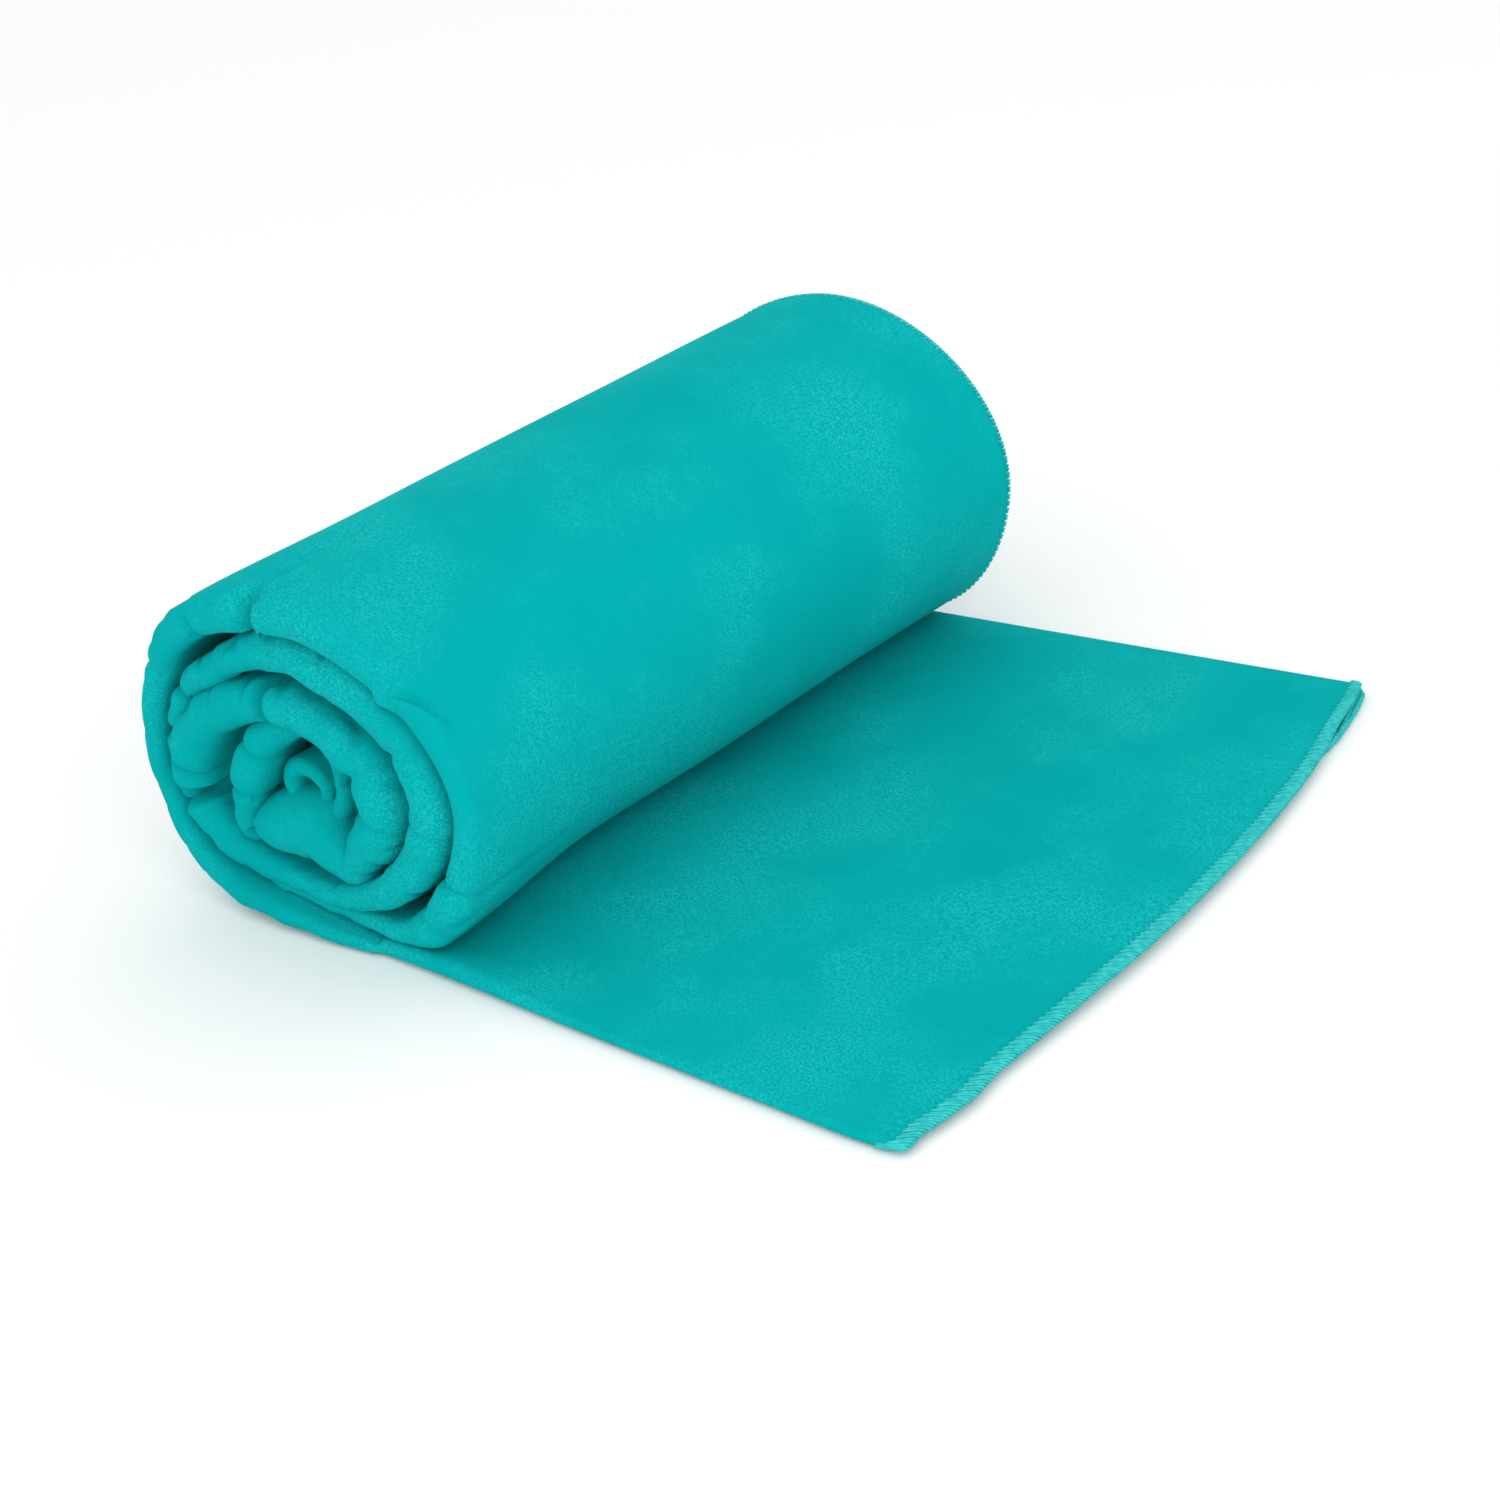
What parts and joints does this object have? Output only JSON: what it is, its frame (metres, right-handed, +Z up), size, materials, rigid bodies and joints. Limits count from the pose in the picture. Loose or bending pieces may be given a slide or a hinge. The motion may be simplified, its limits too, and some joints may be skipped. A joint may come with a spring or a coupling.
{
  "type": "quick dry towel",
  "caption": "Microfibre travel towel, folded in three along its length and rolled up, its outer end lying flat; the flat end bends up over the roll.",
  "frame": {"origin": "on the floor, under the middle of the roll, halfway along it", "axes": "+X the way the towel unrolls, +Y along the roll, +Z up"},
  "size_m": [0.2725, 0.25, 0.114],
  "materials": {
    "towel_cloth": "soft brushed microfibre suede, matt",
    "edge_thread": "overlocked polyester thread, slight sheen"
  },
  "bodies": {
    "roll": {"outer_turn": "towel_cloth", "second_turn": "towel_cloth", "third_turn": "towel_cloth", "inner_turn": "towel_cloth", "core": "towel_cloth", "core_end_hem": "edge_thread", "roll_side_hem": "edge_thread"},
    "flap_1": {"flap_strip_1": "towel_cloth", "flap_side_hem_1": "edge_thread"},
    "flap_2": {"flap_strip_2": "towel_cloth", "flap_side_hem_2": "edge_thread"},
    "flap_3": {"flap_strip_3": "towel_cloth", "flap_side_hem_3": "edge_thread"},
    "flap_4": {"flap_strip_4": "towel_cloth", "flap_side_hem_4": "edge_thread"},
    "flap_5": {"flap_strip_5": "towel_cloth", "flap_side_hem_5": "edge_thread", "end_hem": "edge_thread"}
  },
  "joints": [
    {"name": "flap_bend_1", "type": "hinge", "parent": "roll", "child": "flap_1", "pos_m": [0.038, 0, 0.0022], "axis": [0, -1, 0], "range_deg": [0, 38]},
    {"name": "flap_bend_2", "type": "hinge", "parent": "flap_1", "child": "flap_2", "pos_m": [0.0714, 0, 0.0022], "axis": [0, -1, 0], "range_deg": [0, 30.5]},
    {"name": "flap_bend_3", "type": "hinge", "parent": "flap_2", "child": "flap_3", "pos_m": [0.1048, 0, 0.0022], "axis": [0, -1, 0], "range_deg": [0, 30.5]},
    {"name": "flap_bend_4", "type": "hinge", "parent": "flap_3", "child": "flap_4", "pos_m": [0.1382, 0, 0.0022], "axis": [0, -1, 0], "range_deg": [0, 30.5]},
    {"name": "flap_bend_5", "type": "hinge", "parent": "flap_4", "child": "flap_5", "pos_m": [0.1716, 0, 0.0022], "axis": [0, -1, 0], "range_deg": [0, 30.5]}
  ],
  "couplings": [
    {"joint": "flap_bend_2", "follows": "flap_bend_1", "ratio": 0.8},
    {"joint": "flap_bend_3", "follows": "flap_bend_1", "ratio": 0.8},
    {"joint": "flap_bend_4", "follows": "flap_bend_1", "ratio": 0.8},
    {"joint": "flap_bend_5", "follows": "flap_bend_1", "ratio": 0.8}
  ]
}
